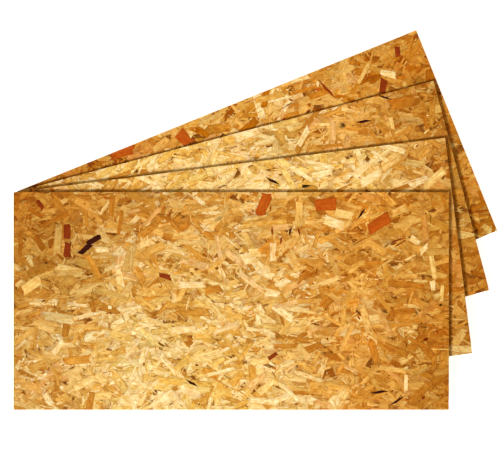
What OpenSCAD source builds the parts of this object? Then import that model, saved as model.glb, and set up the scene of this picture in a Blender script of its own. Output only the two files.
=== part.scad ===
// Stack of oriented strand board panels, fanned out about one shared corner.
// Four identical sheets lie flat on each other, and each one is turned a little
// further than the one above it, so that a wedge of every lower sheet shows.
//
// Units are millimetres. +X runs along the top panel's long edges, +Y across
// it and +Z up. The origin is at floor level, in the middle of the box that
// the whole stack fills.

/* [Panel] */
// Length of every panel, along its surface strands
panel_length = 2440; // [1200:10:3000]
// Width of every panel
panel_width = 1220; // [600:10:1500]
// Thickness of every panel
panel_thickness = 12; // [6:1:30]

/* [Fan] */
// Turn of the second panel about the shared corner, in degrees from the top panel
second_turn = 7.2; // [0:0.1:30]
// Turn of the third panel about the shared corner, in degrees from the top panel
third_turn = 14.9; // [0:0.1:45]
// Turn of the bottom panel about the shared corner, in degrees from the top panel
bottom_turn = 22; // [0:0.1:60]

/* [Hidden] */

board_colour = [0.85, 0.63, 0.30];

// Turns from the top of the stack down. The top panel lies square to the axes.
TURNS = [0, second_turn, third_turn, bottom_turn];

// Outline of one panel, with the shared corner at [0, 0]
OUTLINE = [[0, 0], [panel_length, 0], [panel_length, -panel_width], [0, -panel_width]];

function turned(p, a) = [p.x * cos(a) - p.y * sin(a), p.x * sin(a) + p.y * cos(a)];

// The middle of the fan, seen from above, is the middle of all the panels' corners
CORNERS = [for (a = TURNS, p = OUTLINE) turned(p, a)];
XS = [for (c = CORNERS) c.x];
YS = [for (c = CORNERS) c.y];
MIDDLE = [(min(XS) + max(XS)) / 2, (min(YS) + max(YS)) / 2];

// One panel. place counts from 0 at the top of the stack downwards, and each
// panel rests face to face on the one below it.
module panel(place)
    color(board_colour)
        translate([-MIDDLE.x, -MIDDLE.y, (len(TURNS) - 1 - place) * panel_thickness])
            rotate([0, 0, TURNS[place]])
                translate([0, -panel_width, 0])
                    cube([panel_length, panel_width, panel_thickness]);

module top_panel() { panel(0); }

module second_panel() { panel(1); }

module third_panel() { panel(2); }

module bottom_panel() { panel(3); }

top_panel();
second_panel();
third_panel();
bottom_panel();
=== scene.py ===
"""A fanned stack of oriented strand board panels.

Every panel is built from a thin core slab, loose wood strands pressed flat into
both of its faces, and the cut ends of strands along its sawn edges. The strands
are modelled once as a few patterns and then laid by the thousand from arrays.
"""

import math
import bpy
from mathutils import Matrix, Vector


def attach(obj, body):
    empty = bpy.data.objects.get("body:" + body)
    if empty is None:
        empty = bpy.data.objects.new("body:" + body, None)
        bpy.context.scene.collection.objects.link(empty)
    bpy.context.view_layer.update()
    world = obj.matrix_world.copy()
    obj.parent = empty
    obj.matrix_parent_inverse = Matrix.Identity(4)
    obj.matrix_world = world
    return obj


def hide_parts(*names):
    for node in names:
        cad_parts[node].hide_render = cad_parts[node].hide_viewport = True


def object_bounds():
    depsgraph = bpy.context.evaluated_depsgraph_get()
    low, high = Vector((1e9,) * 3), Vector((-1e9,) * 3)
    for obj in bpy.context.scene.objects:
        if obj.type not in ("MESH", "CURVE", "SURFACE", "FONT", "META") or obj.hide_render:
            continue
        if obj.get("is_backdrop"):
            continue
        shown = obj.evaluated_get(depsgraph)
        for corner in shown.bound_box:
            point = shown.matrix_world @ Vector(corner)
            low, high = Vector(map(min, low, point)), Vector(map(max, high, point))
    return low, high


bl_info = {
    "name": "Strand Board Stack",
    "version": (1, 0, 0),
    "blender": (4, 5, 0),
    "location": "View3D > Sidebar > Strand Board",
    "description": "Builds a fanned stack of oriented strand board panels and its studio",
    "category": "Object",
}

from types import SimpleNamespace
from typing import NamedTuple

import bmesh
import bpy
import numpy as np
from bpy.props import FloatProperty, FloatVectorProperty, PointerProperty
from mathutils import Vector

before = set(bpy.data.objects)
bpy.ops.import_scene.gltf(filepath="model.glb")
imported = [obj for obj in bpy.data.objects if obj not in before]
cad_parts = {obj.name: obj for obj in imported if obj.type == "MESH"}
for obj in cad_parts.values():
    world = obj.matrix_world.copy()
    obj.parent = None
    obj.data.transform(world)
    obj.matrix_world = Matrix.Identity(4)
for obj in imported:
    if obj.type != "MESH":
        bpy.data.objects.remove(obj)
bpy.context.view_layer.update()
BODY = "root"

MM = 0.001
FACE_FINISH, EDGE_FINISH, CORE_FINISH = range(3)  # the places of a board's materials


class BoardPlan(NamedTuple):
    """What sets one board of the stack apart."""

    node: str  # the CAD node that it stands for
    name: str
    seed: int  # start of its random draws
    light_pool_along: float  # middle of the painted pool of light on it, as parts of its length and width
    light_pool_across: float
    light_pool_reach: float  # how far the painted pool of light runs along the board, as a part of its length
    light_pool_amount: float
    corner_shade: float  # how much painted shade deepens its tones at the corner that the boards share
    tone_spread: float  # how far its strands' tones stand apart from their mean


# From the top of the stack down
BOARDS = (
    BoardPlan("top_panel", "top_board", 11, 0.4, 0.0, 0.3, 1.2, 1.2, 1.0),
    BoardPlan("second_panel", "second_board", 23, 0.55, 1.0, 0.35, 1.3, 0.2, 1.0),
    BoardPlan("third_panel", "third_board", 37, 0.35, 1.0, 0.35, 1.1, 0.7, 1.0),
    BoardPlan("bottom_panel", "bottom_board", 41, 0.5, 1.0, 0.3, 0.4, 1.2, 1.2),
)


class StrandSort(NamedTuple):
    """One sort of strand in a face, in metres."""

    per_area: float  # how many there are in a square metre
    hidden_share: float  # the part of them that is laid where another board covers the face
    lengths: tuple
    widths: tuple
    levels: tuple  # how high they lie, from 0 to 1
    cuts: dict  # the patterns that they are cut to, with their shares
    clustered: float = 0.0  # the part of them that lies in bruised patches


BACKING = StrandSort(200, 1.0, (0.12, 0.20), (0.050, 0.075), (0.0, 0.25), {"square": 1.0})
BROAD_CUTS = {"square": 0.25, "torn": 0.4, "split": 0.15, "tapered": 0.2}
BROAD = StrandSort(275, 0.12, (0.08, 0.18), (0.018, 0.048), (0.15, 1.0), BROAD_CUTS)
MIDDLING_CUTS = {"arched": 0.55, "pointed": 0.25, "square": 0.2}
MIDDLING = StrandSort(540, 0.0, (0.030, 0.11), (0.006, 0.024), (0.2, 1.0), MIDDLING_CUTS)
CHIPS = StrandSort(360, 0.0, (0.008, 0.035), (0.005, 0.016), (0.3, 1.0), {"chip": 1.0}, 0.35)
SLIVERS = StrandSort(700, 0.0, (0.015, 0.075), (0.0022, 0.0065), (0.35, 1.0), {"sliver": 1.0}, 0.35)


class MarkedStrand(NamedTuple):
    """A strand that catches the eye on a board's upper face, in metres and degrees."""

    tone: str
    along: float  # its middle, along and across the panel
    across: float
    length: float
    width: float
    turn: float


SLIVER_WIDTH = 18 * MM  # a marked strand narrower than this is cut to the sliver pattern
MARKED_LEVELS = (0.97, 1.0)  # they lie above the others

# The fields of each panel's marked strands, placed to the nearest 50 mm. Across is measured from
# the long edge that is away from the corner that the boards share.
MARKED_STRANDS = {
    "top_panel": (
        # Near the upper left corner: flakes of bark, red heartwood and some long sapwood strands
        ("bark", 0.40, 0.90, 0.08, 0.03, 40), ("bark", 0.45, 0.95, 0.08, 0.03, 30),
        ("red_brown", 0.30, 1.00, 0.08, 0.04, 95), ("red_brown", 0.30, 0.90, 0.08, 0.04, 85),
        ("red_brown", 0.15, 1.15, 0.06, 0.02, -60), ("tan", 0.55, 1.15, 0.12, 0.03, 85),
        ("tan", 0.60, 1.05, 0.14, 0.02, 80), ("honey", 0.45, 0.80, 0.16, 0.04, -65),
        ("grey_straw", 0.65, 0.85, 0.16, 0.05, 75), ("grey_straw", 0.25, 0.95, 0.18, 0.04, 85),
        ("cream", 0.50, 0.90, 0.08, 0.03, 0),
        # Along the upper edge: three resin-rich strands and the broad pale pair between them
        ("red_orange", 1.40, 1.15, 0.12, 0.06, 75), ("red_orange", 1.75, 1.15, 0.14, 0.07, 5),
        ("red_orange", 2.05, 1.05, 0.13, 0.07, 30), ("cream", 1.80, 1.05, 0.14, 0.05, -20),
        ("pale", 1.85, 1.10, 0.12, 0.05, -15), ("bark", 1.95, 1.10, 0.08, 0.015, 55),
        ("straw", 1.60, 1.10, 0.16, 0.04, 90), ("gold", 1.45, 1.05, 0.20, 0.04, 5),
        # A row of short dark strokes below them
        ("red_brown", 1.45, 1.00, 0.06, 0.015, 85), ("red_brown", 1.50, 0.95, 0.05, 0.015, 75),
        ("bark", 1.55, 1.00, 0.05, 0.015, 70), ("red_brown", 1.60, 1.00, 0.05, 0.015, -80),
        # Down the right side
        ("red_brown", 2.15, 0.95, 0.10, 0.015, 15), ("cream", 2.25, 0.95, 0.06, 0.04, -30),
        ("cream", 2.30, 0.90, 0.06, 0.03, 45), ("pale", 2.35, 0.80, 0.15, 0.03, -80),
        ("cream", 2.35, 0.70, 0.06, 0.03, -80), ("tan", 2.20, 0.70, 0.22, 0.03, -5),
        ("pale", 2.40, 0.65, 0.10, 0.02, 85),
        # In the middle and towards the lower edge
        ("tan", 1.75, 0.60, 0.07, 0.05, 50), ("cream", 1.00, 0.70, 0.15, 0.04, 5),
        ("cream", 0.95, 0.45, 0.15, 0.04, 5), ("cream", 1.45, 0.65, 0.08, 0.04, -10),
        ("cream", 1.30, 0.85, 0.07, 0.04, -60), ("cream", 1.35, 0.45, 0.10, 0.02, -5),
        ("red_brown", 0.85, 0.75, 0.07, 0.03, -15), ("red_brown", 1.45, 0.30, 0.06, 0.02, 30),
        ("pale", 0.10, 0.70, 0.12, 0.05, 35), ("pale", 0.40, 0.15, 0.14, 0.04, 25),
        ("cream", 0.25, 0.35, 0.10, 0.03, 50), ("cream", 1.55, 0.10, 0.14, 0.02, -45),
        ("cream", 1.40, 0.05, 0.16, 0.04, -5), ("cream", 1.80, 0.05, 0.06, 0.05, -70),
        ("cream", 2.20, 0.15, 0.10, 0.02, 90), ("bark", 1.00, 0.15, 0.08, 0.015, -30),
        ("bark", 2.05, 0.10, 0.10, 0.015, 5), ("bark", 2.15, 0.05, 0.10, 0.015, 30),
    ),
    "second_panel": (
        ("cream", 2.00, 1.05, 0.14, 0.04, 25), ("cream", 1.95, 1.10, 0.12, 0.04, 35),
        ("grey_straw", 2.25, 1.10, 0.12, 0.04, -15), ("pale", 2.35, 1.00, 0.16, 0.04, 35),
        ("bark", 1.45, 1.10, 0.09, 0.015, -35),
    ),
    "third_panel": (
        ("bark", 2.00, 1.10, 0.10, 0.015, -10), ("bark", 2.15, 1.20, 0.10, 0.015, -35),
        ("pale", 2.15, 1.05, 0.08, 0.02, -90), ("cream", 1.65, 1.10, 0.12, 0.03, 45),
        ("cream", 1.35, 1.20, 0.14, 0.05, 5), ("tan", 2.25, 1.15, 0.16, 0.06, 0),
    ),
    "bottom_panel": (
        ("red_brown", 2.15, 1.00, 0.08, 0.04, 60), ("red_brown", 2.30, 1.15, 0.06, 0.03, 75),
        ("cream", 2.20, 1.05, 0.10, 0.04, -35), ("red_brown", 1.85, 1.10, 0.16, 0.015, -70),
        ("red_orange", 1.00, 1.15, 0.10, 0.07, -70), ("red_orange", 0.65, 1.20, 0.14, 0.05, -5),
    ),
}


# ---------------------------------------------------------------- sizes and colours


def length_property(name, description, default):
    return FloatProperty(name=name, description=description, default=default, unit="LENGTH")


def angle_property(name, description, degrees):
    return FloatProperty(name=name, description=description, default=math.radians(degrees), subtype="ANGLE")


def share_property(name, description, default, low=0.0, high=1.0):
    return FloatProperty(name=name, description=description, default=default, min=low, max=high)


def strength_property(name, description, default):
    return FloatProperty(name=name, description=description, default=default, min=0)


def tone_property(name, description, colour):
    return FloatVectorProperty(
        name=name, description=description, default=colour, size=3, min=0, max=1, subtype="COLOR"
    )


class BoardSizes(bpy.types.PropertyGroup):
    """How the strands of a board are laid and pressed."""

    strand_cover: share_property("Strand cover", "Strands laid, as a part of the usual number", 1.0, 0.3, 1.2)
    underside_share: share_property(
        "Underside share", "Small strands on the underside for each on top", 0.7, low=0.1
    )
    strand_turn: angle_property("Strand turn", "Spread of the strands about the board's length", 33)
    stray_share: share_property("Stray share", "Part of the strands that lie any way round", 0.22)
    pressed_relief: length_property(
        "Pressed relief", "Depth between the highest and the lowest strand of a face", 0.8 * MM
    )
    end_dip: length_property("End dip", "How far a strand's ends are pressed in", 0.3 * MM)
    strand_seat: length_property("Strand seat", "Depth below the face at which the core begins", 1.6 * MM)
    edge_relief: length_property("Edge relief", "Depth of the torn fibres in a sawn edge", 0.45 * MM)
    ply_thickness: length_property("Ply thickness", "Thickness of a strand seen in a sawn edge", 1.0 * MM)


class WoodTones(bpy.types.PropertyGroup):
    """The wood's own colours, from the darkest strand to the palest."""

    bark: tone_property("Bark", "Rare flakes of bark", (0.035, 0.006, 0.002))
    red_brown: tone_property("Red brown", "Rare heartwood strands", (0.205, 0.032, 0.004))
    red_orange: tone_property("Red orange", "Resin-rich strands", (0.400, 0.085, 0.006))
    tan: tone_property("Tan", "Dark heartwood", (0.430, 0.175, 0.016))
    grey_straw: tone_property("Grey straw", "Weathered sapwood", (0.520, 0.350, 0.105))
    yellow: tone_property("Yellow", "Sapwood with a green tinge", (0.590, 0.360, 0.075))
    honey: tone_property("Honey", "Dark sapwood", (0.520, 0.250, 0.032))
    gold: tone_property("Gold", "The commonest strand", (0.595, 0.335, 0.062))
    rose: tone_property("Rose", "Pinkish strands", (0.670, 0.400, 0.125))
    straw: tone_property("Straw", "Light sapwood", (0.665, 0.420, 0.110))
    pale: tone_property("Pale", "Pale sapwood", (0.740, 0.530, 0.185))
    cream: tone_property("Cream", "The palest strands", (0.800, 0.665, 0.330))
    # painted shade: the core tone is dark brown, like the shade deep in the gaps between the strands
    core: tone_property("Core", "What shows deep between the strands", (0.170, 0.055, 0.006))


# The share of the strands that have each tone, from dark to pale
TONE_SHARES = {
    "tan": 0.055,
    "honey": 0.165,
    "yellow": 0.010,
    "gold": 0.260,
    "rose": 0.050,
    "straw": 0.265,
    "pale": 0.155,
    "cream": 0.040,
}
RARE_TONES = ("red_brown", "red_orange", "tan", "cream")  # these turn up anywhere

# What a board's tones are multiplied by: painted light and painted shade, which also shift the hue
SHADE_DRIFT = np.array([0.80, 0.65, 0.40])  # painted shade, far from its pool of light
LIGHT_POOL_DRIFT = np.array([1.15, 1.45, 2.30])  # painted light, in the middle of the pool
LIGHT_POOL_FADE = 0.75  # how much of the painted pool of light is lost from one long edge to the other
CORNER_SHADE_DRIFT = np.array([0.75, 0.65, 0.45])  # besides that, painted shade at the corner that the boards share
CORNER_REACH = 0.8  # how far the corner's painted shade goes, in metres
END_SHADE_DRIFT = np.array([0.80, 0.75, 0.65])  # besides that, painted shade at the far end of its length
END_START = 0.8  # where the end's painted shade begins, as a part of the length
PALEST = np.array([0.77, 0.60, 0.30])  # no strand gets paler than this
DARKEST = 0.002  # nor darker than this
EASE = 8  # how sharply tones ease off at the palest one

# Patches of the board in which strands' tones or hues agree: how far they go, and their size in metres
TONE_PATCHES = ((0.15, 0.16), (0.05, 0.6))
HUE_PATCHES = ((0.22, 0.13), (0.18, 0.4))
VALUE_SPREAD = 0.05  # how far one strand stands apart from the next in value and in hue
HUE_SPREAD = 0.06
WARMTH = (0.1, -0.3, -1.0)  # what a step of hue adds to red, green and blue
RARE_FOLLOW, MARKED_FOLLOW = 0.5, 0.3  # how much of the painted light and shade rare and marked strands follow
RARE_AMONG_SMALL, RARE_AMONG_LARGE, RARE_IN_EDGES = 0.06, 0.0015, 0.02
CRACK_SHARE = 0.25  # the part of the chips and slivers that are dark: dark fines, and cracks with their shade painted into their tone
CRACK_TONES = (0.25, 0.7)  # what their tones are multiplied by
CRACK_TINT = (1.0, 0.75, 0.5)
DEEP_LEVEL = 0.3  # painted shade: strands below this level, deep among the others, are browner
DEEP_SHADE = (0.35, 0.50, 0.65)


class StudioSizes(bpy.types.PropertyGroup):
    """Floor, light and camera."""

    camera_height: length_property("Camera height", "Height of the lens above the floor", 6.0)
    camera_aside: FloatVectorProperty(
        name="Camera aside",
        description="Where the camera hangs, from the middle of the stack",
        default=(-0.034, -0.031),
        size=2,
        unit="LENGTH",
    )
    camera_lens: FloatProperty(name="Lens", description="Focal length in millimetres", default=76.5, min=10)
    key_bearing: angle_property("Key bearing", "Direction in which the key light's shadows fall, from +X", 41)
    key_elevation: angle_property("Key elevation", "Height of the key light", 24)
    key_strength: strength_property("Key strength", "Strength of the key light", 7.6)
    key_softness: angle_property("Key softness", "Width of the key light in the sky", 13)
    fill_strength: strength_property("Fill strength", "Light from all round", 0.56)
    fill_colour: tone_property("Fill colour", "Its warm tinge", (1.0, 0.70, 0.40))
    horizon_band: FloatVectorProperty(
        name="Horizon band",
        description="Where the white by the horizon ends and the fill begins, as the sine of the height",
        default=(0.2, 0.42),
        size=2,
    )
    floor_glow: strength_property("Floor glow", "Light that the floor gives off, thinning its shadows", 0.75)
    floor_span: length_property("Floor span", "Width of the floor", 60.0)


SIZE_GROUPS = {"board_sizes": BoardSizes, "wood_tones": WoodTones, "studio_sizes": StudioSizes}


def tone_of(name):
    return np.array(getattr(bpy.context.scene.wood_tones, name))


# ---------------------------------------------------------------- strand patterns


PATTERN_DEPTH = 4.0  # how far a pattern is extruded down, in its own units
TOP_LIMIT = -2.0  # a pattern's upper points lie above this
END_LIMIT = 0.45  # a pattern's end points lie farther out than this
STATION = 1 / 6  # where the grid's inner stations start out
SHOULDER = 0.38  # where a strand's flat middle ends


def start_shape():
    """Leaves edit mode and clears the selection, so that the next operator meets only its own shape."""
    if bpy.context.mode != "OBJECT":
        bpy.ops.object.mode_set(mode="OBJECT")
    bpy.ops.object.select_all(action="DESELECT")


def pick(test):
    """Selects the points of the shape in edit mode whose place passes a test."""
    mesh = bpy.context.edit_object.data
    shape = bmesh.from_edit_mesh(mesh)
    for part in (*shape.faces, *shape.edges, *shape.verts):
        part.select_set(False)
    for point in shape.verts:
        point.select_set(test(point.co))
    shape.select_flush(True)
    bmesh.update_edit_mesh(mesh)


def push(test, step):
    """Moves the points that pass a test by one step."""
    pick(test)
    bpy.ops.transform.translate(value=step)


def flat_grid(stations, rows):
    """A unit strand lying flat in edit mode, whose ends dip."""
    start_shape()
    bpy.ops.mesh.primitive_grid_add(x_subdivisions=stations, y_subdivisions=rows, size=1)
    bpy.ops.object.mode_set(mode="EDIT")
    bpy.ops.mesh.select_mode(type="VERT")
    push(lambda p: abs(p.x) > END_LIMIT, (0, 0, -1))


def shouldered_grid(rows):
    """A flat strand whose ends dip only past its shoulders."""
    flat_grid(3, rows)
    push(lambda p: 0 < p.x < END_LIMIT, (SHOULDER - STATION, 0, 0))
    push(lambda p: -END_LIMIT < p.x < 0, (STATION - SHOULDER, 0, 0))


def narrowed(test, share, centre):
    """Draws the points that pass a test together across the strand."""
    pick(test)
    bpy.ops.transform.resize(value=(1, share, 1), center_override=centre)


def square_strand():
    shouldered_grid(rows=1)
    return thickened()


def torn_strand():
    shouldered_grid(rows=3)
    return thickened()


def split_strand():
    shouldered_grid(rows=2)
    push(lambda p: p.x > END_LIMIT and abs(p.y) < 0.1, (-0.09, 0.08, 0))
    push(lambda p: p.x < -END_LIMIT and abs(p.y) < 0.1, (-0.04, 0, 0))
    return thickened()


def tapered_strand():
    shouldered_grid(rows=1)
    narrowed(lambda p: p.x > END_LIMIT, 0.3, (0.5, -0.2, 0))
    narrowed(lambda p: p.x < -END_LIMIT, 0.75, (-0.5, 0.1, 0))
    return thickened()


def arched_strand():
    flat_grid(2, 1)
    return thickened()


def pointed_strand():
    flat_grid(2, 1)
    narrowed(lambda p: p.x > END_LIMIT, 0.15, (0.5, 0.25, 0))
    push(lambda p: abs(p.x) < 0.1, (-0.18, 0, 0))
    return thickened()


def flat_disc(corners):
    """A flat unit polygon in edit mode."""
    start_shape()
    bpy.ops.mesh.primitive_circle_add(vertices=corners, radius=0.5, fill_type="NGON")
    bpy.ops.object.mode_set(mode="EDIT")
    bpy.ops.mesh.select_mode(type="VERT")


def chip():
    """A six-sided crumb of wood."""
    flat_disc(6)
    push(lambda p: p.x > 0.2, (0.06, -0.05, 0))
    push(lambda p: p.x < -0.2 and p.y < 0, (0.12, 0.05, 0))
    return thickened()


def sliver():
    """A four-sided splinter."""
    flat_disc(4)
    push(lambda p: abs(p.x) < 0.2 and p.y > 0, (0.14, 0, 0))
    push(lambda p: abs(p.x) < 0.2 and p.y < 0, (-0.10, 0, 0))
    return thickened()


PATTERNS = {
    "square": square_strand,
    "torn": torn_strand,
    "split": split_strand,
    "tapered": tapered_strand,
    "arched": arched_strand,
    "pointed": pointed_strand,
    "chip": chip,
    "sliver": sliver,
}
PATTERN_NUMBERS = {name: number for number, name in enumerate(PATTERNS)}


def thickened():
    """Extrudes the flat shape in edit mode down into a closed one, and returns it as arrays."""
    bpy.ops.mesh.select_all(action="SELECT")
    bpy.ops.mesh.extrude_region_move(TRANSFORM_OT_translate={"value": (0, 0, -PATTERN_DEPTH)})
    pick(lambda p: p.z < TOP_LIMIT)
    bpy.ops.mesh.dissolve_faces()
    bpy.ops.mesh.select_all(action="SELECT")
    bpy.ops.mesh.normals_make_consistent(inside=False)
    shape = taken_up()
    shape.upper = shape.points[:, 2] > TOP_LIMIT
    shape.ends = abs(shape.points[:, 0]) > END_LIMIT
    shape.kinds = [face_kind(shape.upper[list(face)]) for face in shape.faces]
    shape.columns = np.unique(shape.points[:, :2].round(3), axis=0, return_inverse=True)[1].ravel()
    shape.outline = outline_of([face for face, kind in zip(shape.faces, shape.kinds) if kind == "top"])
    return shape


def face_kind(upper):
    return "top" if upper.all() else "side" if upper.any() else "bottom"


def taken_up():
    """The shape in edit mode as arrays of points and faces. The shape itself is removed."""
    bpy.ops.object.mode_set(mode="OBJECT")
    shape = bpy.context.object
    bpy.ops.object.transform_apply(location=True, rotation=True, scale=True)
    points = np.array([v.co for v in shape.data.vertices])
    # extruding adds its faces in an order that changes from run to run, so they are sorted
    faces = sorted(tuple(face.vertices) for face in shape.data.polygons)
    mesh = shape.data
    bpy.data.objects.remove(shape)
    bpy.data.meshes.remove(mesh)
    return SimpleNamespace(points=points, faces=faces)


def outline_of(faces):
    """The points round the outside of some joined faces, in order."""
    steps = {(a, b) for face in faces for a, b in zip(face, face[1:] + face[:1])}
    after = {a: b for a, b in steps if (b, a) not in steps}
    found = [min(after)]
    while after[found[-1]] != found[0]:
        found.append(after[found[-1]])
    return found


def cut_end():
    """The end of a strand in a sawn edge: x runs along the edge, y into the board and z up."""
    start_shape()
    bpy.ops.mesh.primitive_cube_add(size=1, location=(0, 0.5, 0))
    bpy.ops.object.mode_set(mode="EDIT")
    bpy.ops.mesh.select_mode(type="VERT")
    pick(lambda p: p.y > 0)
    bpy.ops.transform.resize(value=(0.96, 1, 0.9), center_override=(0, 1, 0))
    return taken_up()


def core_slab(panel, inset, seat):
    """The slab that carries the strands, in the panel's own place, set back from every face."""
    start_shape()
    middle = (panel.length / 2, panel.width / 2, panel.thickness / 2)
    bpy.ops.mesh.primitive_cube_add(size=1, location=middle)
    bpy.ops.object.mode_set(mode="EDIT")
    bpy.ops.mesh.select_all(action="SELECT")
    span = (panel.length - 2 * inset, panel.width - 2 * inset, panel.thickness - 2 * seat)
    bpy.ops.transform.resize(value=span, center_override=middle)
    bpy.ops.mesh.bevel(offset=inset / 2, segments=1, affect="EDGES")
    return taken_up()


# ---------------------------------------------------------------- gathering a board's mesh


def row_of(values, kind=np.float32):
    """Values in one row, as Blender's meshes take them."""
    return np.asarray(values).astype(kind).ravel()


class Gathering:
    """Collects closed shapes as arrays and makes them one mesh. Faces are stored in the order of
    their rank, so that what lies on top comes last."""

    MOST_CORNERS = 16

    def __init__(self):
        self.points, self.tones, self.grains, self.rims = [], [], [], []
        self.faces, self.sizes, self.ranks, self.charts, self.finishes = [], [], [], [], []
        self.count = 0

    def add_points(self, points, tones, grains, rims):
        """Adds points with their attributes and returns the number of the first one."""
        first = self.count
        kept_rows = (self.points, self.tones, self.grains, self.rims)
        for kept, new in zip(kept_rows, (points, tones, grains, rims)):
            kept.append(np.asarray(new, float).reshape(-1, 3))
        self.count += len(self.points[-1])
        return first

    def add_faces(self, corners, ranks, chart, finish):
        """Adds faces with the same number of corners, one row each."""
        corners = np.atleast_2d(corners)
        padded = np.full((len(corners), self.MOST_CORNERS), -1)
        padded[:, : corners.shape[1]] = corners
        self.faces.append(padded)
        self.sizes.append(np.full(len(corners), corners.shape[1]))
        self.ranks.append(np.broadcast_to(ranks, len(corners)))
        self.charts.append(np.full(len(corners), chart))
        self.finishes.append(np.full(len(corners), finish))

    def turn_over(self, panel):
        """Turns all points so far upside down, in place within the panel."""
        for points in self.points:
            points[:, 1] = panel.width - points[:, 1]
            points[:, 2] = panel.thickness - points[:, 2]

    def made(self, name, panel):
        """The board's mesh, in the row frame."""
        order = np.argsort(np.concatenate(self.ranks), kind="stable")
        faces, sizes, charts, finishes = (
            np.concatenate(rows)[order] for rows in (self.faces, self.sizes, self.charts, self.finishes)
        )
        points, corners = np.concatenate(self.points), faces[faces >= 0]
        mesh = bpy.data.meshes.new(name)
        mesh.vertices.add(len(points))
        mesh.vertices.foreach_set("co", row_of(panel.origin + points @ panel.axes))
        mesh.loops.add(len(corners))
        mesh.loops.foreach_set("vertex_index", row_of(corners, np.int32))
        mesh.polygons.add(len(faces))
        mesh.polygons.foreach_set("loop_start", row_of(np.cumsum(sizes) - sizes, np.int32))
        mesh.polygons.foreach_set("material_index", row_of(finishes, np.int32))
        mesh.update(calc_edges=True)
        # rim_place holds each point's place on its strand, and in its third place the painted shade of the
        # strand's long sides
        for attribute, values in (("grain_place", self.grains), ("rim_place", self.rims)):
            layer = mesh.attributes.new(attribute, "FLOAT_VECTOR", "POINT")
            layer.data.foreach_set("vector", row_of(np.concatenate(values)))
        tones = np.concatenate(self.tones)
        layer = mesh.attributes.new("strand_tone", "FLOAT_COLOR", "POINT")
        layer.data.foreach_set("color", row_of(np.c_[tones, np.ones(len(tones))]))
        places = laid_out(points[corners], np.repeat(charts, sizes), panel)
        own_map = mesh.uv_layers.new(name="OFBake", do_init=False)
        own_map.uv.foreach_set("vector", row_of(places))
        mesh.shade_flat()
        return mesh


UPPER, UNDER, FRONT, RIGHT, BACK, LEFT = range(6)  # the charts of a board's map
CHART_SPAN = 0.96  # the part of the map's width that the board's length takes
CHART_EDGE = 0.0098  # the part of the map's height that a sawn edge takes
CHART_GAP = 0.003


def laid_out(points, charts, panel):
    """Lays the board's two faces and four edges out flat, side by side on one map."""
    scale = CHART_SPAN / panel.length
    face_rise = panel.width * scale + CHART_GAP
    edge_rise = CHART_EDGE + CHART_GAP
    edge_scale = CHART_EDGE / panel.thickness
    places = np.zeros((len(points), 2))
    # each chart: the panel's axis that runs along it, the axis that runs up it with its scale, its corner
    for chart, along, up, up_scale, corner in (
        (UPPER, 0, 1, scale, (0, 0)),
        (UNDER, 0, 1, scale, (0, face_rise)),
        (FRONT, 0, 2, edge_scale, (0, 2 * face_rise)),
        (BACK, 0, 2, edge_scale, (0, 2 * face_rise + edge_rise)),
        (RIGHT, 1, 2, edge_scale, (0, 2 * face_rise + 2 * edge_rise)),
        (LEFT, 1, 2, edge_scale, (0.5, 2 * face_rise + 2 * edge_rise)),
    ):
        on = charts == chart
        places[on, 0] = CHART_GAP + corner[0] + points[on, along] * scale
        places[on, 1] = CHART_GAP + corner[1] + points[on, up] * up_scale
    return places


# ---------------------------------------------------------------- laying strands on a face


def panel_of(node):
    """A CAD panel's own place: its corner, its directions along, across and up, and its size."""

    def corners_of(name):
        return np.array([v.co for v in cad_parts[name].data.vertices])

    top = corners_of(BOARDS[0].node)
    shared = np.array([top[:, 0].min(), top[:, 1].max()])  # the corner that all the panels turn about
    points = corners_of(node)
    low, high = points[:, 2].min(), points[:, 2].max()
    flat = np.unique(points[:, :2].round(5), axis=0)
    apart = np.linalg.norm(flat - shared, axis=1)
    near, by_width, by_length = flat[np.argsort(apart)[[0, -3, -2]]]
    along, across = by_length - near, near - by_width
    length, width = np.linalg.norm(along), np.linalg.norm(across)
    axes = np.array([[*along / length, 0], [*across / width, 0], [0, 0, 1]])
    return SimpleNamespace(
        origin=np.array([*by_width, low]), axes=axes, length=length, width=width, thickness=high - low
    )


VIEW_MARGIN = 0.05  # how far full cover runs on under a neighbour


def hidden_by(neighbour, panel, x, y):
    """Which places on a panel's face a neighbouring panel covers."""
    if neighbour is None:
        return np.zeros(len(x), bool)
    places = panel.origin + np.c_[x, y, np.zeros(len(x))] @ panel.axes
    across_it = (places - neighbour.origin) @ neighbour.axes.T
    low, high = VIEW_MARGIN, np.array([neighbour.length, neighbour.width]) - VIEW_MARGIN
    return ((across_it[:, :2] > low) & (across_it[:, :2] < high)).all(1)


def patchy(rng, panel, x, y, cell):
    """Smooth random values from -1 to 1, which change over about one cell of the board."""
    columns, rows = (int(span / cell) + 4 for span in (panel.length, panel.width))
    values = rng.uniform(-1, 1, (columns, rows))
    along, across = x / cell + 1, y / cell + 1
    column, row = along.astype(int).clip(0, columns - 2), across.astype(int).clip(0, rows - 2)
    s, t = along - column, across - row
    s, t = s * s * (3 - 2 * s), t * t * (3 - 2 * t)
    near = values[column, row] * (1 - s) + values[column + 1, row] * s
    far = values[column, row + 1] * (1 - s) + values[column + 1, row + 1] * s
    return near * (1 - t) + far * t


def patched(rng, panel, x, y, patches):
    """The sum of patches of several sizes."""
    return sum(amount * patchy(rng, panel, x, y, cell) for amount, cell in patches)


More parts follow.
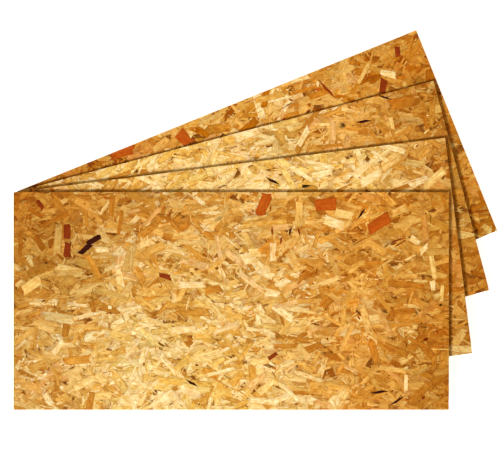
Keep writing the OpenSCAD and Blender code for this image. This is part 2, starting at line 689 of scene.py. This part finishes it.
def drawn_tones(rng, x, y, panel, plan, rare_share):
    """Tones for strands at these places."""
    table, rare_table = (np.array([tone_of(name) for name in names]) for names in (TONE_SHARES, RARE_TONES))
    edges = np.cumsum(list(TONE_SHARES.values()))
    rank = rng.random(len(x)) + patched(rng, panel, x, y, TONE_PATCHES)
    tones = table[np.searchsorted(edges, rank).clip(0, len(table) - 1)]
    common = np.average(table, axis=0, weights=list(TONE_SHARES.values()))
    tones = common + plan.tone_spread * (tones - common)
    rare = rng.random(len(x)) < rare_share
    tones = np.where(rare[:, None], rare_table[rng.integers(0, len(rare_table), len(x))], tones)
    value = rng.normal(1.0, VALUE_SPREAD, (len(x), 1))
    hue = rng.normal(0.0, HUE_SPREAD, len(x)) + patched(rng, panel, x, y, HUE_PATCHES)
    warmth = hue[:, None] * WARMTH
    # rare strands take only part of the painted light and shade
    followed = np.where(rare, RARE_FOLLOW, 1.0)[:, None]
    return limited(tones * value * (1 + warmth) * painted_light_falloff(x, y, panel, plan) ** followed)


def limited(tones):
    """Eases tones off as they come near the palest one."""
    tones = np.maximum(tones, DARKEST)
    return tones / (1 + (tones / PALEST) ** EASE) ** (1 / EASE)


def painted_light_falloff(x, y, panel, plan):
    """What tones are multiplied by at these places: painted light, paler in one pool, and painted shade
    towards the shared corner and the far end.
    """
    off_along = (x / panel.length - plan.light_pool_along) / plan.light_pool_reach
    off_across = abs(y / panel.width - plan.light_pool_across)
    pool_light = plan.light_pool_amount * np.exp(-(off_along**2)) * (1 - LIGHT_POOL_FADE * off_across)
    cornered = np.exp(-(x**2 + (panel.width - y) ** 2) / CORNER_REACH**2)
    whole = SHADE_DRIFT + (LIGHT_POOL_DRIFT - SHADE_DRIFT) * pool_light[:, None]
    ended = np.clip((x / panel.length - END_START) / (1 - END_START), 0, 1)
    at_corner = 1 - plan.corner_shade * (1 - CORNER_SHADE_DRIFT) * cornered[:, None]
    return whole * at_corner * (1 - (1 - END_SHADE_DRIFT) * ended[:, None])


LAID_MARGIN = 0.04  # how far past the board's edges strands are laid, before the saw cuts them
BRUISES = 90  # places where chips and slivers lie close together
BRUISE_SPREAD = (0.040, 0.024)  # along and across
BRUISE_TURN = 0.35  # how much of its own turn a strand keeps there
STUBBIEST = 0.6  # no strand is wider than this part of its length


def scattered(rng, sort, panel, neighbour, sizes, upper, even=False):
    """Places, sizes and turns for one sort of strand on one face."""
    cover = sizes.strand_cover * (1.0 if upper or even else sizes.underside_share)
    span_along, span_across = panel.length + 2 * LAID_MARGIN, panel.width + 2 * LAID_MARGIN
    count = int(sort.per_area * span_along * span_across * cover)
    if even:
        rows = round(math.sqrt(count * span_across / span_along))
        per_row = round(count / rows)
        count = rows * per_row
        row, place = np.divmod(np.arange(count), per_row)
        x = (place + rng.random(count)) / per_row * span_along - LAID_MARGIN
        y = (row + rng.random(count)) / rows * span_across - LAID_MARGIN
    else:
        x = rng.random(count) * span_along - LAID_MARGIN
        y = rng.random(count) * span_across - LAID_MARGIN
    centre = rng.random((BRUISES, 2)) * (panel.length, panel.width)
    nearest = rng.integers(0, BRUISES, count)
    bruised = rng.random(count) < sort.clustered
    x = np.where(bruised, centre[nearest, 0] + rng.normal(0, BRUISE_SPREAD[0], count), x)
    y = np.where(bruised, centre[nearest, 1] + rng.normal(0, BRUISE_SPREAD[1], count), y)
    length = rng.uniform(*sort.lengths, count)
    width = np.minimum(rng.uniform(*sort.widths, count), length * STUBBIEST)
    stray = rng.random(count) < sizes.stray_share
    any_way = rng.uniform(-math.pi / 2, math.pi / 2, count)
    turn = np.where(stray, any_way, rng.normal(0, sizes.strand_turn, count))
    lean = rng.normal(0, 2 * sizes.strand_turn, BRUISES)
    turn = np.where(bruised, lean[nearest] + BRUISE_TURN * turn, turn)
    numbers, shares = [PATTERN_NUMBERS[name] for name in sort.cuts], list(sort.cuts.values())
    strands = SimpleNamespace(x=x, y=y, length=length, width=width, turn=turn)
    strands.kind = rng.choice(numbers, count, p=shares)
    strands.level = rng.uniform(*sort.levels, count)
    hidden = hidden_by(neighbour, panel, x, y if upper else panel.width - y)
    return chosen(strands, ~hidden | (rng.random(count) < sort.hidden_share))


def joined(*groups):
    """Several lots of strands as one."""
    keys = vars(groups[0])
    return SimpleNamespace(**{key: np.concatenate([getattr(group, key) for group in groups]) for key in keys})


def chosen(strands, which):
    """Some of the strands, or one of them."""
    return SimpleNamespace(**{key: value[which] for key, value in vars(strands).items()})


def face_strands(rng, panel, neighbour, sizes, plan, upper):
    """All the strands of one face, the deepest first."""
    groups = [scattered(rng, BACKING, panel, neighbour, sizes, upper, even=True)]
    for sort in (BROAD, MIDDLING, CHIPS, SLIVERS):
        groups.append(scattered(rng, sort, panel, neighbour, sizes, upper))
    strands = joined(*groups)
    small = strands.kind >= PATTERN_NUMBERS["chip"]
    rare_share = np.where(small, RARE_AMONG_SMALL, RARE_AMONG_LARGE)
    strands.tone = drawn_tones(rng, strands.x, strands.y, panel, plan, rare_share)
    # dark fines, and cracks whose shade is painted into their tone
    dark_fines_and_crack_shade = small & (rng.random(len(small)) < CRACK_SHARE)
    strands.tone[dark_fines_and_crack_shade] *= rng.uniform(*CRACK_TONES, (dark_fines_and_crack_shade.sum(), 1)) * CRACK_TINT
    # painted shade on the strands that lie deepest
    deep = np.clip(1 - strands.level / DEEP_LEVEL, 0, 1)[:, None]
    strands.tone *= 1 - deep * DEEP_SHADE
    return chosen(strands, np.argsort(strands.level, kind="stable"))


def marked_strands(panel, plan):
    """The listed strands of a panel, in the same form as the drawn ones."""
    marks = [MarkedStrand(*row) for row in MARKED_STRANDS[plan.node]]
    x, y, length, width, turn = np.array([mark[1:] for mark in marks]).reshape(-1, 5).T
    strands = SimpleNamespace(x=x, y=y, length=length, width=width, turn=np.radians(turn))
    # those that aren't slivers are cut square and torn by turns
    strands.kind = np.where(width < SLIVER_WIDTH, PATTERN_NUMBERS["sliver"], np.arange(len(marks)) % 2)
    strands.level = np.linspace(*MARKED_LEVELS, len(marks))
    tones = np.array([tone_of(mark.tone) for mark in marks]).reshape(-1, 3)
    # marked strands take only part of the painted light and shade
    strands.tone = limited(tones * painted_light_falloff(x, y, panel, plan) ** MARKED_FOLLOW)
    return strands


# The map keeps the face that comes last where several overlap, so the topmost have the highest ranks
CORE_RANK, BOTTOM_RANK, SIDE_RANK, EDGE_RANK, TOP_RANK = -1.0, 0.0, 1.0, 5.0, 10.0
DIPS = (0.4, 1.2)  # how deep a strand's ends are pressed in, as parts of the end dip
GRAIN_REACH = 50  # how far apart the grain of two strands can be
RIM_SHADES = (0.2, 1.0)  # how much painted shade a strand's long sides get, which also scales its darker stains
SLANT = 0.35  # how far its ends are cut aslant, as a part of its width
BOW = 0.025  # how far it is bent, as a part of its length
FADE = 0.08  # how much its tone changes along it and across it
RAGGED_ENDS, RAGGED_MIDDLE, RAGGED_SIDES = 0.13, 0.06, 0.08  # how far its points stray, as parts of its width
SEAT_SINK = 0.2 * MM  # how deep strands reach into the core slab
SMALLEST_CUT = 3e-6  # a cut strand under this many square metres is left out
CLOSEST = 0.05 * MM  # points of an outline nearer than this are one


def lay_face(board, rng, panel, patterns, strands, sizes, chart):
    """Adds one face's strands to the board, as if the face looked up."""
    total = len(strands.x)
    strands.height = panel.thickness - sizes.pressed_relief * (1 - np.linspace(0, 1, total))
    strands.dip = sizes.end_dip * rng.uniform(*DIPS, total)
    strands.grain_seed = rng.uniform(0, GRAIN_REACH, total)
    # painted shade along each strand's long sides
    strands.rim = rng.uniform(*RIM_SHADES, total)
    strands.slant = rng.normal(0, SLANT, total)
    strands.bow = rng.normal(0, BOW, total)
    strands.fade = rng.normal(0, FADE, (total, 2))
    strands.rank = TOP_RANK + np.arange(total)
    for number, pattern in enumerate(patterns):
        lay_pattern(board, rng, panel, pattern, chosen(strands, strands.kind == number), sizes, chart)


def stacked(*parts):
    """Three coordinates as places."""
    return np.stack(np.broadcast_arrays(*parts), -1)


def lay_pattern(board, rng, panel, pattern, strands, sizes, chart):
    """Adds all the strands that are cut to one pattern."""
    count = len(strands.x)
    unit_x, unit_y = pattern.points[:, 0], pattern.points[:, 1]
    length, width, turn = strands.length[:, None], strands.width[:, None], strands.turn[:, None]
    # every column of points strays a little, the ends raggedly
    wobble = rng.normal(0, 1, (count, pattern.columns.max() + 1, 2))[:, pattern.columns]
    ragged = np.where(pattern.ends, RAGGED_ENDS, RAGGED_MIDDLE) * wobble[:, :, 0]
    ragged += strands.slant[:, None] * unit_y * pattern.ends
    bowed = strands.bow[:, None] * length * (4 * unit_x**2 - 0.5)
    along = unit_x * length + ragged * width
    across = (unit_y + RAGGED_SIDES * wobble[:, :, 1]) * width + bowed
    x = strands.x[:, None] + np.cos(turn) * along - np.sin(turn) * across
    y = strands.y[:, None] + np.sin(turn) * along + np.cos(turn) * across
    seat = panel.thickness - sizes.strand_seat - SEAT_SINK
    top = strands.height[:, None] + pattern.points[:, 2] * strands.dip[:, None]
    points = stacked(x, y, np.where(pattern.upper, top, seat))
    along_rim, across_rim = 2 * unit_x, 2 * unit_y
    grain = stacked(along, across, strands.grain_seed[:, None])
    # the third place of rim carries the strand's painted side shade
    rim = stacked(along_rim, across_rim, strands.rim[:, None])
    fade = 1 + strands.fade[:, :1] * along_rim + strands.fade[:, 1:] * across_rim
    tone = strands.tone[:, None] * fade[:, :, None]
    inside = ((x >= 0) & (x <= panel.length) & (y >= 0) & (y <= panel.width)).all(1)
    first = board.add_points(points[inside], tone[inside], grain[inside], rim[inside])
    start = first + np.arange(inside.sum())[:, None] * len(pattern.points)
    rank_of = {"top": strands.rank[inside], "side": SIDE_RANK, "bottom": BOTTOM_RANK}
    for face, kind in zip(pattern.faces, pattern.kinds):
        board.add_faces(start + np.array(face), rank_of[kind], chart, FACE_FINISH)
    outlines = np.stack([x, y], -1)[:, pattern.outline]
    # no two cuts lie in one plane, as the saw leaves some strands standing a little proud
    insets = rng.random(count) ** 2 * sizes.edge_relief
    for k in np.flatnonzero(~inside):
        lay_cut_strand(board, trimmed(outlines[k], panel, insets[k]), chosen(strands, k), seat, chart)


def lay_cut_strand(board, outline, strand, seat, chart):
    """Adds a strand that the saw cut off at the board's edge, as a flat piece with upright sides."""
    if len(outline) < 3 or area_of(outline) < SMALLEST_CUT:
        return
    count = len(outline)
    off = outline - (strand.x, strand.y)
    cos, sin = math.cos(strand.turn), math.sin(strand.turn)
    along, across = off[:, 0] * cos + off[:, 1] * sin, off[:, 1] * cos - off[:, 0] * sin
    grain = np.c_[along, across, np.full(count, strand.grain_seed)]
    rim = np.c_[2 * along / strand.length, 2 * across / strand.width, np.full(count, strand.rim)]
    points = np.r_[np.c_[outline, np.full(count, strand.height)], np.c_[outline, np.full(count, seat)]]
    tone = np.broadcast_to(strand.tone, (2 * count, 3))
    first = board.add_points(points, tone, np.r_[grain, grain], np.r_[rim, rim])
    ring = np.arange(count)
    after = (ring + 1) % count
    board.add_faces(first + ring, strand.rank, chart, FACE_FINISH)
    board.add_faces(first + count + ring[::-1], BOTTOM_RANK, chart, FACE_FINISH)
    sides = np.stack([ring, ring + count, after + count, after], 1)
    board.add_faces(first + sides, SIDE_RANK, chart, FACE_FINISH)


def trimmed(outline, panel, inset):
    """The part of an outline that lies on the board, this far in from its edges."""
    far_x, far_y = panel.length - inset, panel.width - inset
    for axis, limit, sign in ((0, inset, 1), (0, far_x, -1), (1, inset, 1), (1, far_y, -1)):
        kept = []
        room = (outline[:, axis] - limit) * sign
        after, room_after = np.roll(outline, -1, 0), np.roll(room, -1)
        for here, there, room_here, room_there in zip(outline, after, room, room_after):
            if room_here >= 0:
                kept.append(here)
            if (room_here >= 0) != (room_there >= 0):
                crossing = here + (there - here) * (room_here / (room_here - room_there))
                crossing[axis] = limit
                kept.append(crossing)
        if len(kept) < 3:
            return np.zeros((0, 2))
        outline = np.array(kept)
    apart = np.linalg.norm(outline - np.roll(outline, 1, 0), axis=1)
    return outline[apart > CLOSEST]


def area_of(outline):
    """The area inside a flat outline."""
    after = np.roll(outline, -1, 0)
    return abs((outline[:, 0] * after[:, 1] - after[:, 0] * outline[:, 1]).sum()) / 2


# ---------------------------------------------------------------- sawn edges and core


PLY_OVERLAP = 0.5 * MM  # how far the rows of cut ends run past the core slab, up and down
CUT_LENGTHS = (0.010, 0.085)  # how long the cut ends of strands are, in metres
USUAL_CUT = 0.03  # as many are drawn as if each were this long
SHORTEST_LAST = 0.01  # the last one of a row is no shorter
CUT_GAPS = (-0.002, 0.003)  # an overlap or a gap between two of them
PLY_STRAY, PLY_TILT = 0.3, 0.4  # how far they lie off their row and aslant, as parts of the ply thickness
PLY_SWELL = (0.7, 1.5)  # how thick they are, as parts of it
CUT_TAPER = (0.35, 1.0)  # how thick they are at their own two ends
CUT_REACH = 0.6 * MM  # how far they go in past the torn fibres
SLAB_GAP = 0.3 * MM  # how far behind the torn fibres the core slab begins
CUT_TONES = (0.5, 0.95)  # a sawn end is darker than the face of its strand
DARK_CUTS, DARK_CUT_TONE = 0.12, 0.35  # the part of them that are darker still, and by how much


def lay_edges(board, rng, panel, pattern, sizes, plan):
    """Adds the cut ends of the strands that show in the four sawn edges."""
    corners = ((0, 0), (panel.length, 0), (panel.length, panel.width), (0, panel.width))
    directions = ((1, 0), (0, 1), (-1, 0), (0, -1))
    spans = (panel.length, panel.width, panel.length, panel.width)
    low = sizes.strand_seat - PLY_OVERLAP
    high = panel.thickness - low
    rows = int((high - low) / sizes.ply_thickness)
    for side, (corner, direction, span) in enumerate(zip(corners, directions, spans)):
        starts, ends, levels = [], [], []
        for row in range(rows):
            cuts = np.cumsum(rng.uniform(*CUT_LENGTHS, int(span / USUAL_CUT)))
            cuts = np.r_[0, cuts[cuts < span - SHORTEST_LAST], span]
            gaps = rng.uniform(*CUT_GAPS, len(cuts) - 1)
            starts.append(cuts[:-1] + np.maximum(gaps, 0) * (cuts[:-1] > 0))
            ends.append(np.minimum(cuts[1:] + np.maximum(-gaps, 0), span))
            levels.append(np.full(len(cuts) - 1, low + (row + 0.5) * (high - low) / rows))
        start, end, level = map(np.concatenate, (starts, ends, levels))
        count = len(start)
        level = level + rng.uniform(-PLY_STRAY, PLY_STRAY, count) * sizes.ply_thickness
        thick = sizes.ply_thickness * rng.uniform(*PLY_SWELL, count)
        tilt = rng.normal(0, PLY_TILT, (count, 1)) * sizes.ply_thickness
        back = rng.uniform(0, 1, count) ** 2 * sizes.edge_relief
        taper = rng.uniform(*CUT_TAPER, (count, 2))
        ux, uy, uz = pattern.points.T
        along = (start[:, None] + end[:, None]) / 2 + ux * (end - start)[:, None]
        inward = np.where(uy > 0.5, sizes.edge_relief + CUT_REACH, back[:, None])
        rise = level[:, None] + tilt * ux + uz * thick[:, None] * np.where(ux < 0, taper[:, :1], taper[:, 1:])
        bound = np.clip(rise, sizes.pressed_relief, panel.thickness - sizes.pressed_relief)
        x = corner[0] + along * direction[0] - inward * direction[1]
        y = corner[1] + along * direction[1] + inward * direction[0]
        tone = drawn_tones(rng, x.mean(1), y.mean(1), panel, plan, RARE_IN_EDGES)
        tone *= rng.uniform(*CUT_TONES, (count, 1))
        tone[rng.random(count) < DARK_CUTS] *= DARK_CUT_TONE
        points = stacked(x, y, bound)
        grain = stacked(along, rise, rng.uniform(0, GRAIN_REACH, count)[:, None])
        rim = np.broadcast_to(stacked(2 * ux, 2 * uz, 0), points.shape)
        first = board.add_points(points, np.broadcast_to(tone[:, None], points.shape), grain, rim)
        base = first + np.arange(count)[:, None] * len(pattern.points)
        for face in pattern.faces:
            outer = all(uy[list(face)] < 0.5)
            board.add_faces(base + np.array(face), EDGE_RANK + outer, FRONT + side, EDGE_FINISH)


def lay_core(board, panel, sizes):
    """Adds the slab behind the strands."""
    slab = core_slab(panel, sizes.edge_relief + SLAB_GAP, sizes.strand_seat)
    count = len(slab.points)
    # the core's dark tone is painted shade
    tone = np.broadcast_to(tone_of("core"), (count, 3))
    first = board.add_points(slab.points, tone, slab.points, np.zeros((count, 3)))
    charts_facing = {0: (LEFT, RIGHT), 1: (FRONT, BACK), 2: (UNDER, UPPER)}
    middle = (panel.length / 2, panel.width / 2, panel.thickness / 2)
    for face in slab.faces:
        facing = np.ptp(slab.points[list(face)], axis=0).argmin()
        far = slab.points[list(face), facing].mean() > middle[facing]
        board.add_faces(first + np.array(face), CORE_RANK, charts_facing[facing][int(far)], CORE_FINISH)


# ---------------------------------------------------------------- materials


WOOD_GLOSS = 0.04  # wood this rough hardly shines


class Wiring:
    """A short way to add and join the nodes of one material."""

    def __init__(self, name):
        self.material = bpy.data.materials.new(name)
        self.material.use_nodes = True
        self.tree = self.material.node_tree
        self.shader = self.tree.nodes["Principled BSDF"]
        self.count = 0

    def node(self, kind, inputs=(), **settings):
        """Adds a node, sets it up, and joins or fills its inputs, which are given by name or number."""
        made = self.tree.nodes.new("ShaderNode" + kind)
        made.location = (-2600 + 220 * (self.count % 11), -220 * (self.count // 11))
        self.count += 1
        for key, value in settings.items():
            setattr(made, key, value)
        for key, value in dict(inputs).items():
            self.join(value, made.inputs[key])
        return made

    def join(self, value, socket):
        if isinstance(value, bpy.types.NodeSocket):
            self.tree.links.new(value, socket)
        else:
            socket.default_value = value

    def attribute(self, name, output):
        return self.node("Attribute", attribute_name=name).outputs[output]

    def maths(self, operation, *values):
        return self.node("Math", enumerate(values), operation=operation).outputs["Value"]

    def noise(self, place, stretch, detail, roughness=0.5):
        """A noise with its own scale along each direction of the place."""
        moved = self.node("VectorMath", {0: place, 1: stretch}, operation="MULTIPLY")
        inputs = {"Vector": moved.outputs["Vector"], "Scale": 1.0, "Detail": detail, "Roughness": roughness}
        return self.node("TexNoise", inputs).outputs["Fac"]

    def ranged(self, value, from_low, from_high, to_low, to_high):
        inputs = {"Value": value, 1: from_low, 2: from_high, 3: to_low, 4: to_high}
        return self.node("MapRange", inputs).outputs["Result"]

    def swung(self, noise, to_low, to_high):
        """A noise's usual run of values spread over a new one."""
        return self.ranged(noise, 0.3, 0.7, to_low, to_high)

    def dimmed(self, colour, *factors):
        """A colour times some factors."""
        for factor in factors:
            scaled = self.node("VectorMath", {0: colour, "Scale": factor}, operation="SCALE")
            colour = scaled.outputs["Vector"]
        return colour

    def tinted(self, colour, tint, amount):
        """A colour multiplied by a tint, as far as the amount says."""
        full = self.node("VectorMath", {0: colour, 1: tint}, operation="MULTIPLY").outputs["Vector"]
        made = self.node("Mix", data_type="RGBA")
        for value, key in ((amount, 0), (colour, 6), (full, 7)):
            self.join(value, made.inputs[key])
        return made.outputs[2]

    def finish(self, colour, roughness, relief, strength, distance):
        """Joins the last results to the shader and returns the material."""
        self.join(colour, self.shader.inputs["Base Color"])
        self.join(roughness, self.shader.inputs["Roughness"])
        self.shader.inputs["Specular IOR Level"].default_value = WOOD_GLOSS
        bump = self.node("Bump", {"Height": relief, "Strength": strength, "Distance": distance})
        self.join(bump.outputs["Normal"], self.shader.inputs["Normal"])
        return self.material


def strand_wood():
    """Pressed strands: growth rings along the grain, soft stains, specks, bruises, and painted shade along
    their ends and long sides.
    """
    made = Wiring("pressed strand wood")
    tone = made.attribute("strand_tone", "Color")
    place = made.attribute("grain_place", "Vector")
    rim = made.node("SeparateXYZ", {0: made.attribute("rim_place", "Vector")}).outputs
    board_place = made.node("TexCoord").outputs["Object"]
    rings = made.noise(place, (6.0, 150.0, 3.0), 3.0, 0.6)
    fibres = made.noise(place, (60.0, 1800.0, 11.0), 2.0)
    stains = made.noise(place, (38.0, 85.0, 7.0), 3.0, 0.6)
    clouds = made.noise(board_place, (20.0, 34.0, 20.0), 2.0, 0.55)
    specks = made.noise(place, (60.0, 240.0, 9.0), 3.0, 0.6)
    to_side, to_end = (made.maths("ABSOLUTE", rim[axis]) for axis in "YX")
    # painted shade: strands darken in a warm brown towards their ends and long sides, as in the gaps between
    # them
    frayed = made.maths("MULTIPLY_ADD", rings, 0.35, to_end)
    end_shade = made.ranged(frayed, 1.02, 1.22, 0.0, 0.7)
    side_shade = made.maths("MULTIPLY", made.ranged(to_side, 0.72, 1.0, 0.0, 0.65), rim["Z"])
    colour = made.dimmed(tone, made.swung(rings, 0.83, 1.13), made.swung(fibres, 0.92, 1.07))
    colour = made.tinted(colour, (0.55, 0.40, 0.22), made.maths("MAXIMUM", end_shade, side_shade))
    colour = made.tinted(colour, (1.07, 1.16, 1.40), made.ranged(stains, 0.36, 0.50, 1.0, 0.0))
    stained = made.maths("MULTIPLY", made.ranged(stains, 0.50, 0.66, 0.0, 1.0), rim["Z"])
    colour = made.tinted(colour, (0.76, 0.54, 0.26), stained)
    colour = made.tinted(colour, (0.90, 0.80, 0.62), made.ranged(clouds, 0.40, 0.66, 0.0, 1.0))
    colour = made.tinted(colour, (0.55, 0.36, 0.20), made.ranged(specks, 0.60, 0.68, 0.0, 0.85))
    relief = made.maths("MULTIPLY_ADD", fibres, 0.5, rings)
    return made.finish(colour, made.swung(stains, 0.9, 0.7), relief, 0.35, 0.25 * MM)


def sawn_wood():
    """Sawn strand ends: duller, with open pores and torn fibres."""
    made = Wiring("sawn strand ends")
    tone = made.attribute("strand_tone", "Color")
    place = made.attribute("grain_place", "Vector")
    pores = made.noise(place, (900.0, 1500.0, 5.0), 3.0, 0.7)
    streaks = made.noise(place, (45.0, 900.0, 9.0), 2.0)
    colour = made.dimmed(tone, made.ranged(pores, 0.35, 0.65, 0.72, 1.1), made.swung(streaks, 0.8, 1.1))
    return made.finish(colour, made.swung(pores, 0.95, 0.8), pores, 0.6, 0.3 * MM)


def shaded_core_wood():
    """The wood deep between the strands, painted dark brown for the shade in the gaps."""
    made = Wiring("core between strands")
    tone = made.attribute("strand_tone", "Color")
    place = made.node("TexCoord").outputs["Object"]
    patches = made.noise(place, (60.0, 90.0, 300.0), 3.0)
    crumbs = made.noise(place, (400.0, 400.0, 900.0), 3.0, 0.65)
    colour = made.dimmed(tone, made.swung(patches, 0.5, 1.5), made.swung(crumbs, 0.6, 1.3))
    return made.finish(colour, made.swung(crumbs, 0.95, 0.75), crumbs, 0.7, 0.5 * MM)


def floor_paint(glow):
    """Plain white floor, which gives off a little light of its own."""
    made = Wiring("white floor")
    haze = made.noise(made.node("TexCoord").outputs["Object"], (0.7, 0.7, 0.7), 2.0)
    made.join(made.swung(haze, 0.85, 0.95), made.shader.inputs["Roughness"])
    made.shader.inputs["Base Color"].default_value = (0.92, 0.92, 0.92, 1)
    made.shader.inputs["Specular IOR Level"].default_value = 0.1
    made.shader.inputs["Emission Color"].default_value = (1, 1, 1, 1)
    made.shader.inputs["Emission Strength"].default_value = glow
    return made.material


# ---------------------------------------------------------------- operators


class STRANDBOARD_OT_boards(bpy.types.Operator):
    """Build the four strand board panels in the places of their CAD nodes"""

    bl_idname = "strandboard.boards"
    bl_label = "Strand Board Panels"

    def execute(self, context):
        sizes = context.scene.board_sizes
        patterns = [make() for make in PATTERNS.values()]
        finishes = [strand_wood(), sawn_wood(), shaded_core_wood()]
        panels = [panel_of(plan.node) for plan in BOARDS]
        above, below = [None, *panels[:-1]], [*panels[1:], None]
        for plan, panel, cover, support in zip(BOARDS, panels, above, below):
            mesh = self.board_mesh(plan, panel, cover, support, patterns, sizes)
            for finish in finishes:
                mesh.materials.append(finish)
            piece = bpy.data.objects.new(plan.name, mesh)
            context.scene.collection.objects.link(piece)
            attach(piece, BODY)
            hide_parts(plan.node)
        return {"FINISHED"}

    def board_mesh(self, plan, panel, cover, support, patterns, sizes):
        rng = np.random.default_rng(plan.seed)
        board = Gathering()
        under = face_strands(rng, panel, support, sizes, plan, upper=False)
        lay_face(board, rng, panel, patterns, under, sizes, UNDER)
        board.turn_over(panel)
        upper = joined(face_strands(rng, panel, cover, sizes, plan, upper=True), marked_strands(panel, plan))
        lay_face(board, rng, panel, patterns, upper, sizes, UPPER)
        lay_edges(board, rng, panel, cut_end(), sizes, plan)
        lay_core(board, panel, sizes)
        return board.made(plan.name, panel)


KEY_DISTANCE = 5  # a sun's place changes nothing but where it is drawn


class STRANDBOARD_OT_stage(bpy.types.Operator):
    """Lay the floor, set the lights and hang the camera over the stack"""

    bl_idname = "strandboard.stage"
    bl_label = "Studio"

    def execute(self, context):
        studio = context.scene.studio_sizes
        low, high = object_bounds()
        middle = (low + high) / 2
        self.lay_floor(studio, middle, low.z)
        self.set_lights(context, studio, middle)
        self.hang_camera(context, studio, middle)
        context.scene.view_settings.view_transform = "Standard"
        return {"FINISHED"}

    def lay_floor(self, studio, middle, level):
        start_shape()
        bpy.ops.mesh.primitive_plane_add(size=studio.floor_span, location=(middle.x, middle.y, level))
        floor = bpy.context.object
        floor.name = "floor"
        floor.data.materials.append(floor_paint(studio.floor_glow))
        floor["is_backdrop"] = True

    def set_lights(self, context, studio, middle):
        flat = math.cos(studio.key_elevation)
        drop = -math.sin(studio.key_elevation)
        heading = Vector((math.cos(studio.key_bearing) * flat, math.sin(studio.key_bearing) * flat, drop))
        start_shape()
        bpy.ops.object.light_add(type="SUN", location=middle - heading * KEY_DISTANCE)
        key = context.object
        key.name = "key_light"
        key.rotation_euler = heading.to_track_quat("-Z", "Y").to_euler()
        key.data.energy = studio.key_strength
        key.data.angle = studio.key_softness
        context.scene.world = self.sky(studio)

    def sky(self, studio):
        """Light from all round: warm and soft overhead, and plain white down by the horizon."""
        world = bpy.data.worlds.new("soft fill")
        world.use_nodes = True
        nodes, links = world.node_tree.nodes, world.node_tree.links
        heading = nodes.new("ShaderNodeSeparateXYZ")
        links.new(nodes.new("ShaderNodeTexCoord").outputs["Generated"], heading.inputs[0])
        height = nodes.new("ShaderNodeMapRange")
        links.new(heading.outputs["Z"], height.inputs["Value"])
        height.inputs[1].default_value, height.inputs[2].default_value = studio.horizon_band
        blend = nodes.new("ShaderNodeMix")
        blend.data_type = "RGBA"
        links.new(height.outputs["Result"], blend.inputs[0])
        blend.inputs[6].default_value = (1, 1, 1, 1)
        blend.inputs[7].default_value = (*(studio.fill_strength * part for part in studio.fill_colour), 1)
        links.new(blend.outputs[2], nodes["Background"].inputs["Color"])
        return world

    def hang_camera(self, context, studio, middle):
        start_shape()
        place = (middle.x + studio.camera_aside[0], middle.y + studio.camera_aside[1], studio.camera_height)
        bpy.ops.object.camera_add(location=place, rotation=(0, 0, 0))
        camera = context.object
        camera.name = "camera_above"
        camera.data.lens = studio.camera_lens
        camera.data.clip_end = 4 * studio.floor_span
        context.scene.camera = camera


class STRANDBOARD_PT_sidebar(bpy.types.Panel):
    """Lists the tools that build the stack"""

    bl_label = "Strand Board Stack"
    bl_idname = "STRANDBOARD_PT_sidebar"
    bl_space_type = "VIEW_3D"
    bl_region_type = "UI"
    bl_category = "Strand Board"

    def draw(self, context):
        layout = self.layout
        layout.operator("strandboard.boards")
        layout.operator("strandboard.stage")
        for name, group in SIZE_GROUPS.items():
            box = layout.box()
            for key in group.__annotations__:
                box.prop(getattr(context.scene, name), key)


CLASSES = (*SIZE_GROUPS.values(), STRANDBOARD_OT_boards, STRANDBOARD_OT_stage, STRANDBOARD_PT_sidebar)


def register():
    for cls in CLASSES:
        bpy.utils.register_class(cls)
    for name, group in SIZE_GROUPS.items():
        setattr(bpy.types.Scene, name, PointerProperty(type=group))


def unregister():
    for name in SIZE_GROUPS:
        delattr(bpy.types.Scene, name)
    for cls in reversed(CLASSES):
        bpy.utils.unregister_class(cls)


def main():
    register()
    bpy.ops.strandboard.boards()
    bpy.ops.strandboard.stage()


if __name__ == "__main__":
    main()
